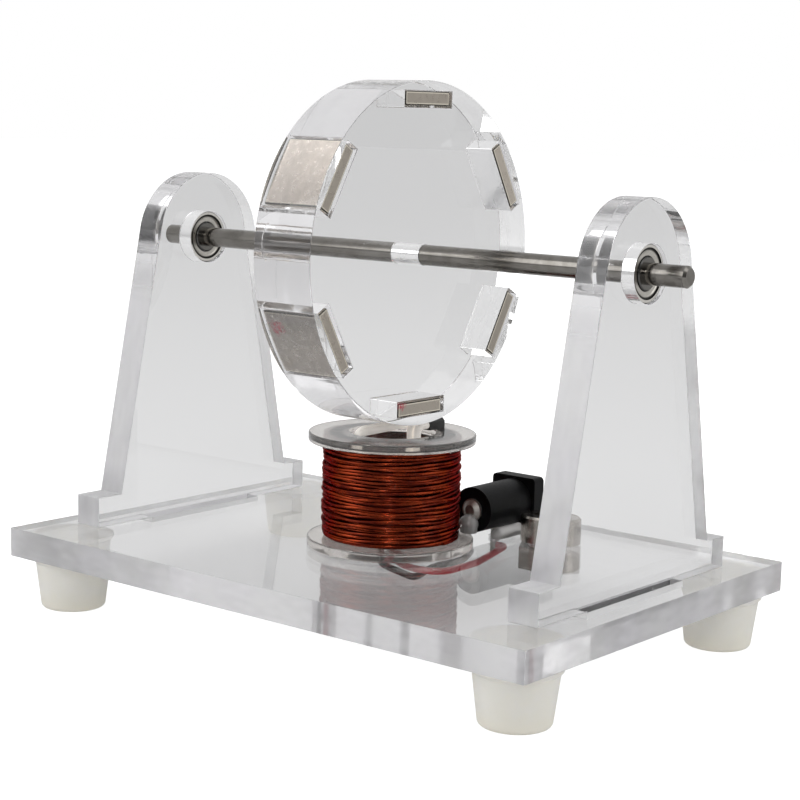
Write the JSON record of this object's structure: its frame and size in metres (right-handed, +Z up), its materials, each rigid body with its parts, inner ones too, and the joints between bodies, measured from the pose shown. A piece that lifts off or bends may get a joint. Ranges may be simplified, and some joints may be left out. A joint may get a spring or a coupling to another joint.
{
  "type": "demonstration electric motor",
  "caption": "Clear acrylic demonstration motor: a magnet disc on a steel shaft in ball bearings spins above one Hall-switched coil.",
  "frame": {"origin": "centre of the floor area, on the plane that the feet stand on", "axes": "+X along the shaft, +Y towards the side with the socket, +Z up"},
  "size_m": [0.0986, 0.065, 0.0808],
  "materials": {
    "clear_acrylic": "clear acrylic, polished faces and laser-cut edges",
    "silicone": "translucent milky silicone",
    "bearing_ring": "ground bearing steel",
    "bearing_shield": "pressed steel sheet",
    "bearing_ball": "polished steel",
    "shaft_steel": "ground round bar",
    "nickel": "bright nickel plate",
    "bobbin_plastic": "moulded clear plastic, slightly smoky",
    "copper_enamel": "enamelled copper wire, glossy",
    "black_moulding": "black moulded plastic",
    "sensor_resin": "black moulding resin",
    "white_sleeve": "white sleeving",
    "hot_glue": "cloudy hot-melt glue",
    "red_insulation": "soft cable insulation",
    "black_insulation": "soft cable insulation"
  },
  "bodies": {
    "root": {"base_plate": "clear_acrylic", "foot_front_left": "silicone", "foot_back_left": "silicone", "foot_front_right": "silicone", "foot_back_right": "silicone", "left_upright": "clear_acrylic", "left_bearing_outer_ring": "bearing_ring", "left_bearing_outer_shield": "bearing_shield", "left_bearing_inner_shield": "bearing_shield", "right_upright": "clear_acrylic", "right_bearing_outer_ring": "bearing_ring", "right_bearing_outer_shield": "bearing_shield", "right_bearing_inner_shield": "bearing_shield", "coil_bobbin": "bobbin_plastic", "coil_winding": "copper_enamel", "coil_leads": "copper_enamel", "hall_sensor": "sensor_resin", "sensor_leads": "white_sleeve", "socket_housing": "black_moulding", "socket_center_pin": "nickel", "socket_lug": "nickel", "socket_spring_contact": "nickel", "joint_glue": "hot_glue", "socket_glue": "hot_glue", "cap_screw": "nickel", "hex_nut": "nickel", "red_lead": "red_insulation", "black_lead": "black_insulation"},
    "rotor": {"shaft": "shaft_steel", "rotor_disc": "clear_acrylic", "magnet_1": "nickel", "magnet_2": "nickel", "magnet_3": "nickel", "magnet_4": "nickel", "magnet_5": "nickel", "magnet_6": "nickel", "left_bearing_inner_ring": "bearing_ring", "right_bearing_inner_ring": "bearing_ring"},
    "left_cage": {"left_bearing_cage": "bearing_shield", "left_bearing_balls": "bearing_ball"},
    "right_cage": {"right_bearing_cage": "bearing_shield", "right_bearing_balls": "bearing_ball"}
  },
  "joints": [
    {"name": "rotor_spin", "type": "hinge", "parent": "root", "child": "rotor", "pos_m": [0, 0, 0.0559], "axis": [1, 0, 0], "continuous": true},
    {"name": "left_cage_spin", "type": "hinge", "parent": "root", "child": "left_cage", "pos_m": [-0.0409, 0, 0.0559], "axis": [1, 0, 0], "continuous": true},
    {"name": "right_cage_spin", "type": "hinge", "parent": "root", "child": "right_cage", "pos_m": [0.0409, 0, 0.0559], "axis": [1, 0, 0], "continuous": true}
  ],
  "couplings": [
    {"joint": "left_cage_spin", "follows": "rotor_spin", "ratio": 0.36364},
    {"joint": "right_cage_spin", "follows": "rotor_spin", "ratio": 0.36364}
  ]
}
